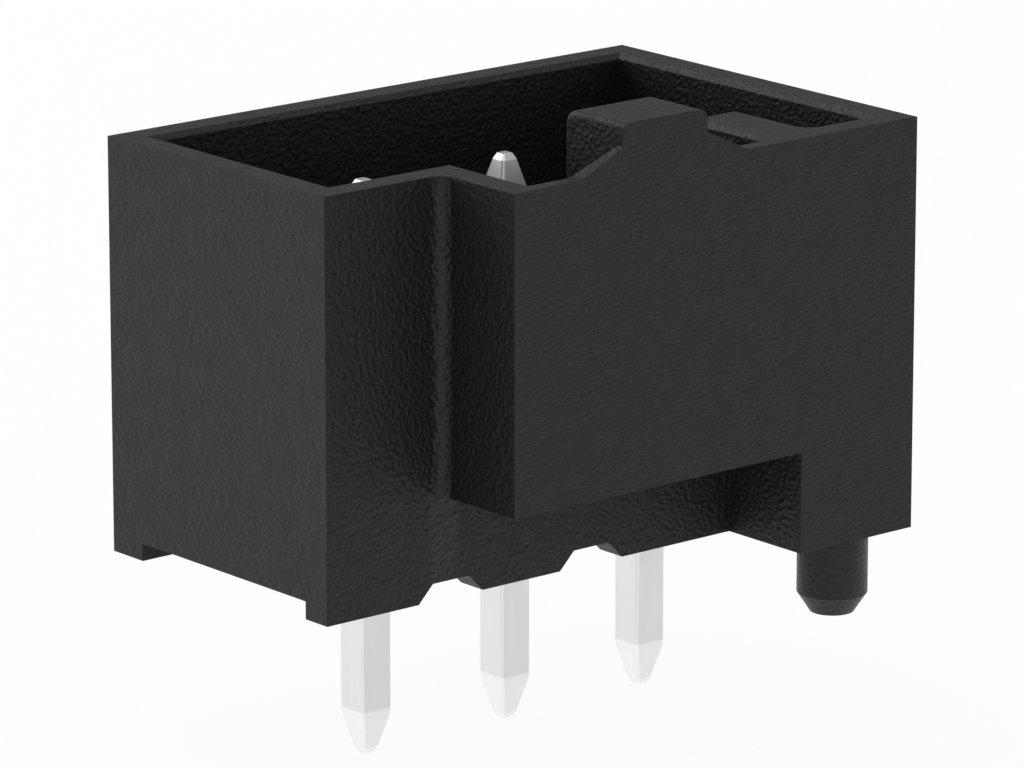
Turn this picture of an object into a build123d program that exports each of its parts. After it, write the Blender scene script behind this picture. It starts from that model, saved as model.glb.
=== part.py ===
from build123d import *
import os

# Shrouded three-way pin header for a circuit board: one moulded housing and its terminal pins.
# Frame: the board's surface is the plane z = 0 and the pin row runs along X with its middle at the
# origin. The lower, overhanging side of the shroud faces -Y, and the plug goes in from +Z.
# All sizes are in millimetres.

# Terminal pins
ways = 3
pitch = 5.0
pin_width = 1.04
pin_edge_radius = 0.12
pin_tail_reach = 5.27
pin_top_height = 10.96
point_length = 1.15
point_end_width = 0.45
point_bend_radius = 1.5
point_bevel_width = 0.06
point_bevel_height = 0.17
pin_hole_clearance = 0.01

# Housing outline
end_margin = 4.275
back_reach = 5.78
front_reach = 3.71
panel_overhang = 2.96
rim_height = 11.78
panel_clearance = 2.89
panel_floor_thickness = 0.92
bay_width = 4.03
bay_root_radius = 0.46
corner_block_width = 4.19

# Walls and the edge of the mouth
wall = 0.92
return_wall = 1.0
mouth_chamfer = 0.15
relief_height = 1.35
relief_rim_width = 0.48

# Raised polarising key with a ramp on each side
key_width = 3.0
key_offset = 0.03
key_depth = 2.41
key_rise = 1.34
key_left_round = 0.16
key_right_round = 0.29
key_back_round = 0.38
ramp_run = 1.47
ramp_rise = 0.7
ramp_blend_radius = 1.0

# Guide rib beside the last pin
rib_width = 1.71
rib_offset = 0.155
rib_root_radius = 0.45

# Feet under the housing
foot_height = 0.5
front_foot_depth = 0.93
back_foot_depth = 1.33
notch_width = 1.25

# Locating peg
peg_beyond_last_pin = 2.5
peg_setback = 1.31
peg_diameter = 2.0
peg_straight_reach = 1.81
peg_end_diameter = 1.26
peg_reach = 2.37

# Places that follow from the sizes above
half_row = (ways - 1) * pitch / 2
pin_places = [number * pitch - half_row for number in range(ways)]
left_end = -half_row - end_margin
right_end = half_row + end_margin
front_wall_y = -front_reach
panel_y = front_wall_y - panel_overhang
panel_left = left_end + bay_width
block_left = right_end - corner_block_width
floor_top = panel_clearance + panel_floor_thickness
inner_left = left_end + wall
inner_right = right_end - wall
inner_back = back_reach - wall
inner_bay = front_wall_y + wall
inner_panel = panel_y + wall
inner_return = panel_left + return_wall
key_left = key_offset - key_width / 2
key_right = key_offset + key_width / 2
key_back = panel_y + key_depth
key_top = rim_height + key_rise
ramp_top = rim_height + ramp_rise
rib_left = pin_places[-1] + rib_offset - rib_width / 2
rib_right = rib_left + rib_width
through = 1.0


def block(x_range, y_range, z_range):
    """A plain box between two corners, given as a range along each axis."""
    size = [high - low for low, high in (x_range, y_range, z_range)]
    corner = (x_range[0], y_range[0], z_range[0])
    return Pos(*corner) * Box(*size, align=(Align.MIN, Align.MIN, Align.MIN))


def rectangle(across, up):
    """A flat rectangle, given as a range along each of its two directions."""
    return make_face(Polyline(
        (across[0], up[0]),
        (across[0], up[1]),
        (across[1], up[1]),
        (across[1], up[0]),
        close=True,
    ))


def corners_at(shape, x, y):
    """The vertices of a flat outline that lie at one place."""
    return [v for v in shape.vertices() if abs(v.X - x) < 0.001 and abs(v.Y - y) < 0.001]


def rounded_corner(outline, x, y, radius):
    """The outline with the corner at one place rounded."""
    return fillet(corners_at(outline, x, y), radius)


def prism(outline, bottom, top):
    """The outline in plan, raised from one height to another."""
    return extrude(Pos(0, 0, bottom) * outline, amount=top - bottom)


def front_view(outline, y, depth):
    """The outline as seen from the front, extruded backwards from one place."""
    upright = Plane(origin=(0, y, 0), x_dir=(1, 0, 0), z_dir=(0, -1, 0))
    return extrude(upright * outline, amount=-depth)


def side_view(outline, x, length):
    """The outline as seen from the right end, drawn in y and z and extruded along the row."""
    upright = Plane(origin=(x, 0, 0), x_dir=(0, 1, 0), z_dir=(1, 0, 0))
    return extrude(upright * outline, amount=length)


def outer_body():
    """Outer form: the shroud in plan, stepped at the bay, on a shallower lower body."""
    plan = make_face(Polyline(
        (left_end, back_reach),
        (left_end, front_wall_y),
        (panel_left, front_wall_y),
        (panel_left, panel_y),
        (right_end, panel_y),
        (right_end, back_reach),
        close=True,
    ))
    plan = rounded_corner(plan, panel_left, front_wall_y, bay_root_radius)
    shroud = prism(plan, panel_clearance, rim_height)
    lower = block((left_end, right_end), (front_wall_y, back_reach), (0, panel_clearance))
    corner_block = block((block_left, right_end), (panel_y, front_wall_y), (0, panel_clearance))
    return shroud + lower + corner_block


def front_ramps():
    """The front wall's rise beside the key: a ramp on each side, blended into the rim."""
    base = rim_height - wall
    left_foot = key_left - ramp_run
    right_foot = key_right + ramp_run
    outline = make_face(Polyline(
        (left_foot - ramp_blend_radius, base),
        (left_foot - ramp_blend_radius, rim_height),
        (left_foot, rim_height),
        (key_left, ramp_top),
        (key_right, ramp_top),
        (right_foot, rim_height),
        (right_foot + ramp_blend_radius, rim_height),
        (right_foot + ramp_blend_radius, base),
        close=True,
    ))
    outline = rounded_corner(outline, left_foot, rim_height, ramp_blend_radius)
    outline = rounded_corner(outline, right_foot, rim_height, ramp_blend_radius)
    return front_view(outline, panel_y, wall)


def polarising_key():
    """The raised key, from the floor to its own top: sharp where it is flush with the panel."""
    side = rectangle((panel_y, key_back), (floor_top, key_top))
    side = rounded_corner(side, key_back, key_top, key_back_round)
    key = side_view(side, key_left, key_width)
    for x, radius in ((key_left, key_left_round), (key_right, key_right_round)):
        key = fillet(key_flank_edges(key, x), radius)
    return key


def key_flank_edges(key, x):
    """The edges round one flank of the key, but for the front one and the one on the floor."""
    middles = [(edge, edge.center()) for edge in key.edges()]
    on_flank = [(edge, middle) for edge, middle in middles if abs(middle.X - x) < 0.001]
    return [edge for edge, middle in on_flank if middle.Y > panel_y + 0.001 and middle.Z > floor_top + 0.001]


def cavity():
    """The plug's space: it follows the walls and goes round the guide rib."""
    plan = make_face(Polyline(
        (inner_left, inner_back),
        (inner_left, inner_bay),
        (inner_return, inner_bay),
        (inner_return, inner_panel),
        (rib_left, inner_panel),
        (rib_left, inner_bay),
        (rib_right, inner_bay),
        (rib_right, inner_panel),
        (inner_right, inner_panel),
        (inner_right, inner_back),
        close=True,
    ))
    plan = rounded_corner(plan, rib_left, inner_panel, rib_root_radius)
    plan = rounded_corner(plan, rib_right, inner_panel, rib_root_radius)
    straight = prism(plan, floor_top, rim_height)
    flare_start = Pos(0, 0, rim_height - mouth_chamfer) * plan
    flare = extrude(flare_start, amount=mouth_chamfer, taper=-45)
    return straight + flare


def rim_relief():
    """The slope that thins the front wall's inner side beside the key, up to its ramps."""
    slope = (wall - relief_rim_width) / relief_height
    above_rim = key_rise + through
    deepest = inner_panel - slope * (relief_height + above_rim)
    outline = make_face(Polyline(
        (inner_panel, rim_height - relief_height),
        (deepest, rim_height + above_rim),
        (inner_panel, rim_height + above_rim),
        close=True,
    ))
    relief_left = inner_return - mouth_chamfer
    relief_right = rib_left - rib_root_radius
    return side_view(outline, relief_left, relief_right - relief_left)


def underside():
    """What is taken out from below: the channel between the feet and the notches at the pins."""
    channel_front = front_wall_y + front_foot_depth
    channel_back = back_reach - back_foot_depth
    ends = (left_end - through, right_end + through)
    cut = block(ends, (channel_front, channel_back), (-through, foot_height))
    for place in pin_places:
        if place + notch_width / 2 + foot_height < block_left:
            cut += foot_notch(place)
    return cut


def foot_notch(place):
    """One notch through the front foot, with flanks at 45 degrees."""
    narrow = notch_width / 2
    wide = narrow + foot_height
    outline = make_face(Polyline(
        (place - wide, 0),
        (place - narrow, foot_height),
        (place + narrow, foot_height),
        (place + wide, 0),
        close=True,
    ))
    return front_view(outline, front_wall_y, front_foot_depth)


def locating_peg():
    """The round peg under the corner block, straight with a tapered end."""
    outline = make_face(Polyline(
        (0, 0),
        (peg_diameter / 2, 0),
        (peg_diameter / 2, -peg_straight_reach),
        (peg_end_diameter / 2, -peg_reach),
        (0, -peg_reach),
        close=True,
    ))
    turned = revolve(Plane.XZ * outline, axis=Axis.Z)
    return Pos(pin_places[-1] + peg_beyond_last_pin, panel_y + peg_setback, 0) * turned


def pin_holes():
    """The holes in the floor, which hold the pins: square, with rounded corners."""
    width = pin_width + 2 * pin_hole_clearance
    section = RectangleRounded(width, width, pin_edge_radius + pin_hole_clearance)
    return [Pos(place, 0, 0) * prism(section, -through, floor_top + through) for place in pin_places]


def housing():
    """The whole moulding, as one solid."""
    body = outer_body() + front_ramps()
    body -= cavity()
    body -= rim_relief()
    body += polarising_key()
    body -= underside()
    body += locating_peg()
    body -= pin_holes()
    return body


def pin_outline():
    """A pin seen from any of its four sides: a shaft that tapers alike at both ends."""
    half = pin_width / 2
    end = point_end_width / 2
    top = pin_top_height
    bottom = -pin_tail_reach
    right = [
        (end, top),
        (half, top - point_length),
        (half, bottom + point_length),
        (end, bottom),
    ]
    left = [(-x, z) for x, z in reversed(right)]
    outline = make_face(Polyline(*right, *left, close=True))
    for x in (-half, half):
        for z in (top - point_length, bottom + point_length):
            outline = rounded_corner(outline, x, z, point_bend_radius)
    return outline


def on_corner(point):
    """Whether a point of a pin lies on one of its four corners, as seen from above."""
    return abs(abs(point.X) - abs(point.Y)) < 0.001


def long_edges(pin):
    """The edges that run along a pin's four corners, from one end to the other."""
    ends = [(edge, edge @ 0, edge @ 1) for edge in pin.edges()]
    at_corner = [(edge, a, b) for edge, a, b in ends if on_corner(a) and on_corner(b)]
    return [edge for edge, a, b in at_corner if abs(a.Z - b.Z) > 0.001]


def contact_pin(place):
    """One straight square pin with rounded edges, pointed on all four sides and bevelled at its ends."""
    outline = pin_outline()
    from_front = extrude(Plane.XZ * outline, amount=pin_width, both=True)
    from_side = extrude(Plane.YZ * outline, amount=pin_width, both=True)
    pin = from_front & from_side
    pin = fillet(long_edges(pin), pin_edge_radius)
    for lowest_or_highest in (0, -1):
        end_face = pin.faces().sort_by(Axis.Z)[lowest_or_highest]
        pin = chamfer(end_face.edges(), point_bevel_width, point_bevel_height, reference=end_face)
    return Pos(place, 0, 0) * pin


def write_node(solid, name):
    """One STEP file for one node."""
    solid.label = name
    export_step(solid, f"parts/{name}.step")


os.makedirs("parts", exist_ok=True)
write_node(housing(), "housing")
for number, place in enumerate(pin_places, start=1):
    write_node(contact_pin(place), f"contact_pin_{number}")
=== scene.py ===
import math

import bpy
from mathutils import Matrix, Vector


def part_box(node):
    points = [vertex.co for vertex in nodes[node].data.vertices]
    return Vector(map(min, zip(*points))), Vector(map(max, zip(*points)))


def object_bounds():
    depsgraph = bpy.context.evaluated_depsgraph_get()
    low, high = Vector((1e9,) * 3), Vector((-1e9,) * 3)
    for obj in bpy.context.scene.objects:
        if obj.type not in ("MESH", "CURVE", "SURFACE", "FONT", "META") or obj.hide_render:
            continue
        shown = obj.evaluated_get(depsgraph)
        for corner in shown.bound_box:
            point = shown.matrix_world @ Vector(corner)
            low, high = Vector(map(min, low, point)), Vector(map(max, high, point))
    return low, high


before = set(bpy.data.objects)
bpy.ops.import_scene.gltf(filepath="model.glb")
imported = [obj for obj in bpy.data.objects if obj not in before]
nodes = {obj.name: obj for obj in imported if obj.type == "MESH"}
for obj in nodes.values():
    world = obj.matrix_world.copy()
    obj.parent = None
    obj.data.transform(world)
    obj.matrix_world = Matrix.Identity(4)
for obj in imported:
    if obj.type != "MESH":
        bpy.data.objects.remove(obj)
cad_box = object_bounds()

# Places, lengths and depths in the materials and at the camera are in millimetres, which MM turns into
# metres. The floor and the lamps are placed in metres.
MM = 0.001

# Heights of a pin's ends, and the length of its points with their bends into the shaft
PIN_BOTTOM, PIN_TOP = (corner.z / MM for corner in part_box("contact_pin_2"))
POINT_LENGTH = 1.3

# The housing's middle and half size, and the bay's rounded inside corner
HOUSING_LOW, HOUSING_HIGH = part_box("housing")
HOUSING_MIDDLE = (HOUSING_LOW + HOUSING_HIGH) / 2 / MM
HOUSING_HALF = (HOUSING_HIGH - HOUSING_LOW) / 2 / MM
BAY_ROOT = (-5.245, -3.71, 0.0)

# How round the sharp edges look, and how deep the plastic's grain and the plating's streaks are
EDGE_RADIUS = 0.03
GRAIN_DEPTH = 0.056
STREAK_DEPTH = 0.0015


# Small helpers for node trees

class Tree:
    """A material's or the world's node tree, cleared, with short ways to add and join nodes."""

    def __init__(self, owner):
        owner.use_nodes = True
        self.tree = owner.node_tree
        self.tree.nodes.clear()

    def node(self, kind, inputs=None, **settings):
        made = self.tree.nodes.new(kind)
        for name, value in settings.items():
            setattr(made, name, value)
        for name, value in (inputs or {}).items():
            self.feed(made.inputs[name], value)
        return made

    def feed(self, socket, value):
        if isinstance(value, bpy.types.NodeSocket):
            self.tree.links.new(value, socket)
        else:
            socket.default_value = value

    def math(self, operation, a, b=0.0):
        return self.node("ShaderNodeMath", {0: a, 1: b}, operation=operation).outputs["Value"]

    def add(self, a, b):
        return self.math("ADD", a, b)

    def subtract(self, a, b):
        return self.math("SUBTRACT", a, b)

    def multiply(self, a, b):
        return self.math("MULTIPLY", a, b)

    def mix(self, factor, a, b):
        return self.node("ShaderNodeMix", {"Factor": factor, "A": a, "B": b}).outputs["Result"]

    def ramp(self, value, low, high, to_low=0.0, to_high=1.0):
        """The value carried from one range to another, and held at its ends."""
        made = self.node("ShaderNodeMapRange", {
            "Value": value, "From Min": low, "From Max": high, "To Min": to_low, "To Max": to_high,
        })
        return made.outputs["Result"]

    def position(self, stretch=(1.0, 1.0, 1.0)):
        """Object coordinates in millimetres."""
        coordinates = self.node("ShaderNodeTexCoord").outputs["Object"]
        scale = tuple(s / MM for s in stretch)
        return self.node("ShaderNodeMapping", {"Vector": coordinates, "Scale": scale}).outputs["Vector"]

    def split(self, vector):
        """The three parts of a vector."""
        return self.node("ShaderNodeSeparateXYZ", {"Vector": vector}).outputs

    def noise(self, where, scale, detail=2.0, roughness=0.5):
        made = self.node("ShaderNodeTexNoise", {
            "Vector": where, "Scale": scale, "Detail": detail, "Roughness": roughness,
        })
        return made.outputs["Fac"]

    def grey(self, shade):
        colour = self.node("ShaderNodeCombineColor", {"Red": shade, "Green": shade, "Blue": shade})
        return colour.outputs["Color"]

    def relief(self, height, depth):
        """The surface's normal, with its edges rounded and the height as a bump of the given depth."""
        rounded = self.node("ShaderNodeBevel", {"Radius": EDGE_RADIUS * MM}, samples=4).outputs["Normal"]
        return self.node("ShaderNodeBump", {
            "Strength": 1.0, "Distance": depth * MM, "Height": height, "Normal": rounded,
        }).outputs["Normal"]


def seen_directly(tree):
    """One for camera, glossy and transmission rays, and nought for the rays that light things."""
    path = tree.node("ShaderNodeLightPath").outputs
    seen = tree.math("MAXIMUM", path["Is Camera Ray"], path["Is Glossy Ray"])
    return tree.math("MAXIMUM", seen, path["Is Transmission Ray"])


# Materials

def plastic():
    """Black moulded plastic with an eroded mould's grain.

    The grain is coarse inside, in the bay and underneath, shallow on the outermost faces, and between
    the two on the peg.
    """
    material = bpy.data.materials.new("housing_plastic_grained")
    tree = Tree(material)
    place = tree.position()
    axes = tree.split(place)

    # How far a place lies inside the four outermost faces, and whether it is above the board
    along = tree.math("ABSOLUTE", tree.subtract(axes["X"], HOUSING_MIDDLE.x))
    across = tree.math("ABSOLUTE", tree.subtract(axes["Y"], HOUSING_MIDDLE.y))
    inside_ends = tree.subtract(HOUSING_HALF.x, along)
    inside_sides = tree.subtract(HOUSING_HALF.y, across)
    recessed = tree.ramp(tree.math("MINIMUM", inside_ends, inside_sides), 0.03, 0.12)
    above_board = tree.ramp(axes["Z"], -0.06, 0.03)
    below_board = tree.subtract(1.0, above_board)
    recessed = tree.multiply(recessed, tree.ramp(above_board, 0.0, 1.0, 0.45))

    # The bay's rounded inside corner, smoother than the rest, up to just below the rim
    in_plan = tree.node("ShaderNodeCombineXYZ", {"X": axes["X"], "Y": axes["Y"]}).outputs["Vector"]
    from_root = tree.node("ShaderNodeVectorMath", {0: in_plan, 1: BAY_ROOT}, operation="DISTANCE")
    root = tree.subtract(1.0, tree.ramp(from_root.outputs["Value"], 0.43, 0.49))
    root = tree.multiply(root, tree.subtract(1.0, tree.ramp(axes["Z"], 11.6, 11.75)))

    # The two grains
    cells = tree.node("ShaderNodeTexVoronoi", {
        "Vector": place, "Scale": 7.0, "Smoothness": 0.6, "Randomness": 1.0,
    }, feature="SMOOTH_F1").outputs["Distance"]
    fine = tree.noise(place, 9.0, 3.0, 0.55)
    coarse = tree.add(tree.multiply(cells, 0.6), tree.multiply(fine, 0.8))
    shallow = tree.noise(tree.position((0.5, 0.5, 1.2)), 9.5, 3.0, 0.6)
    shallow = tree.add(tree.multiply(shallow, 0.95), 0.135)
    height = tree.mix(recessed, shallow, coarse)

    # Roughness with slow patches, and colour that follows the grain, with painted light lifting the
    # recesses and the peg below the board
    rough = tree.ramp(tree.noise(place, 1.3, 3.0), 0.3, 0.7, 0.47, 0.54)
    rough = tree.subtract(rough, tree.multiply(root, 0.18))
    rough = tree.subtract(rough, tree.multiply(below_board, 0.07))
    # Painted light: the recessed faces are painted slightly lighter.
    shade = tree.add(tree.ramp(fine, 0.3, 0.7, 0.0080, 0.0110), tree.multiply(recessed, 0.0008))
    # Painted light: the peg below the board is painted lighter.
    shade = tree.add(shade, tree.multiply(below_board, 0.0065))

    shader = tree.node("ShaderNodeBsdfPrincipled", {
        "Base Color": tree.grey(shade), "Roughness": rough, "Normal": tree.relief(height, GRAIN_DEPTH),
        "IOR": 1.45, "Specular IOR Level": 0.36,
    })
    tree.node("ShaderNodeOutputMaterial", {"Surface": shader.outputs["BSDF"]})
    return material


def tin():
    """Satin tin plating, with painted shade making the two cut faces darker than the two rolled ones,
    painted light making the coined points brighter, and painted shade darkening every face inside the
    cavity.
    """
    material = bpy.data.materials.new("pin_metal_tinned")
    tree = Tree(material)
    place = tree.position()
    height = tree.split(place)["Z"]
    streaks = tree.noise(tree.position((5.0, 5.0, 0.25)), 1.0)

    # The coined points at both ends, which get painted light, and the cut faces at front and back and the
    # part inside the cavity, which get painted shade
    from_middle = tree.math("ABSOLUTE", tree.subtract(height, (PIN_TOP + PIN_BOTTOM) / 2))
    shaft_half = (PIN_TOP - PIN_BOTTOM) / 2 - POINT_LENGTH
    painted_light_points = tree.ramp(from_middle, shaft_half - 0.03, shaft_half + 0.03)
    facing = tree.node("ShaderNodeTexCoord").outputs["Normal"]
    front_back_painted_shade = tree.ramp(tree.math("ABSOLUTE", tree.split(facing)["Y"]), 0.75, 0.95)
    in_cavity = tree.ramp(height, 4.0, 9.0)

    rough = tree.ramp(tree.noise(place, 0.8), 0.3, 0.7, 0.20, 0.26)
    rough = tree.add(rough, tree.multiply(in_cavity, 0.17))
    # Painted light: the coined points at both ends are painted lighter.
    shade = tree.add(tree.ramp(streaks, 0.3, 0.7, 0.79, 0.81), tree.multiply(painted_light_points, 0.13))
    # Painted shade: outside the cavity the cut faces at front and back are painted darker, and inside the
    # cavity every face is painted darker instead.
    shade = tree.subtract(shade, tree.mix(in_cavity, tree.multiply(front_back_painted_shade, 0.12), 0.08))

    shader = tree.node("ShaderNodeBsdfPrincipled", {
        "Base Color": tree.grey(shade), "Metallic": 1.0, "Roughness": rough,
        "Normal": tree.relief(streaks, STREAK_DEPTH),
    })
    tree.node("ShaderNodeOutputMaterial", {"Surface": shader.outputs["BSDF"]})
    return material


def floor_material():
    """Pale floor: white as it is seen, with the object's shadow kept."""
    material = bpy.data.materials.new("floor_white")
    tree = Tree(material)
    shadowed = tree.node("ShaderNodeBsdfDiffuse", {"Color": (0.9, 0.9, 0.9, 1.0)}).outputs["BSDF"]
    white = tree.node("ShaderNodeEmission", {"Strength": 1.0}).outputs["Emission"]
    share = tree.multiply(seen_directly(tree), 0.95)
    mixed = tree.node("ShaderNodeMixShader", {0: share, 1: shadowed, 2: white}).outputs["Shader"]
    tree.node("ShaderNodeOutputMaterial", {"Surface": mixed})
    return material


def set_material(obj, material):
    for slot in obj.material_slots:
        slot.material = material


set_material(nodes["housing"], plastic())
metal = tin()
for name in ("contact_pin_1", "contact_pin_2", "contact_pin_3"):
    set_material(nodes[name], metal)


# Floor

FLOOR_HALF = 0.6
lowest = cad_box[0].z
floor_mesh = bpy.data.meshes.new("floor")
floor_mesh.from_pydata(
    [(-FLOOR_HALF, -FLOOR_HALF, lowest), (FLOOR_HALF, -FLOOR_HALF, lowest),
     (FLOOR_HALF, FLOOR_HALF, lowest), (-FLOOR_HALF, FLOOR_HALF, lowest)],
    [], [(0, 1, 2, 3)],
)
floor_mesh.materials.append(floor_material())
floor = bpy.data.objects.new("floor", floor_mesh)
bpy.context.scene.collection.objects.link(floor)


# Light: a white horizon under a dark ceiling, and six soft lamps

HORIZON_TOP = 0.07
CEILING_EDGE = 0.23
CEILING_STRENGTH = 0.11
LAMP_DISTANCE = 0.5
LAMPS_AIM_AT = Vector((0.0, 0.0, 0.004))

world = bpy.data.worlds.new("studio")
bpy.context.scene.world = world
sky = Tree(world)
rise = sky.split(sky.node("ShaderNodeTexCoord").outputs["Generated"])["Z"]
strength = sky.ramp(rise, HORIZON_TOP, CEILING_EDGE, 1.0, CEILING_STRENGTH)
background = sky.node("ShaderNodeBackground", {"Color": (1.0, 1.0, 1.0, 1.0), "Strength": strength})
sky.node("ShaderNodeOutputWorld", {"Surface": background.outputs["Background"]})


def softbox(name, towards, size, brightness):
    """A square lamp aimed at the object; its brightness is that of its face."""
    lamp = bpy.data.lights.new(name, "AREA")
    lamp.shape = "SQUARE"
    lamp.size = size
    lamp.energy = brightness * math.pi * size ** 2
    holder = bpy.data.objects.new(name, lamp)
    bpy.context.scene.collection.objects.link(holder)
    towards = Vector(towards).normalized()
    holder.location = LAMPS_AIM_AT + LAMP_DISTANCE * towards
    holder.rotation_euler = (-towards).to_track_quat("-Z", "Y").to_euler()
    holder.visible_camera = False


softbox("lamp_back_left", (-0.65, 0.74, 0.16), 0.2, 1.42)
softbox("lamp_back", (-0.25, 0.74, 0.62), 0.3, 4.0)
softbox("lamp_front_left", (-0.5, -0.8, 0.6), 0.4, 0.64)
softbox("lamp_front_right", (0.6, -0.7, 0.5), 0.4, 0.35)
softbox("lamp_right", (1.0, 0.1, 0.6), 0.4, 0.35)
softbox("lamp_top", (0.0, 0.05, 1.0), 0.5, 2.0)


# Camera: the photo's, with its angles in radians and its focal length in pixels of the 1024 wide frame

AZIMUTH = 0.698069340307896
ELEVATION = 0.25914082611377254
FOCAL_PIXELS = 6799.88
FRAME_WIDTH = 1024
DISTANCE = 188.3211
ABOVE_MIDDLE_PIN = Vector((0.0, 0.0, 6.0))
AIM_TO_RIGHT = 0.20493
AIM_TO_BELOW = 1.57301

camera_data = bpy.data.cameras.new("camera")
camera_data.sensor_width = 36.0
camera_data.lens = camera_data.sensor_width * FOCAL_PIXELS / FRAME_WIDTH
camera_data.clip_start = 0.01
camera_data.clip_end = 10.0
camera = bpy.data.objects.new("camera", camera_data)
bpy.context.scene.collection.objects.link(camera)
forward = Vector((
    math.sin(AZIMUTH) * math.cos(ELEVATION), math.cos(AZIMUTH) * math.cos(ELEVATION), -math.sin(ELEVATION),
))
right = Vector((math.cos(AZIMUTH), -math.sin(AZIMUTH), 0.0))
up = right.cross(forward)
target = ABOVE_MIDDLE_PIN + AIM_TO_RIGHT * right - AIM_TO_BELOW * up
camera.location = (target - DISTANCE * forward) * MM
camera.rotation_euler = forward.to_track_quat("-Z", "Y").to_euler()
bpy.context.scene.camera = camera

bpy.context.scene.view_settings.view_transform = "Standard"
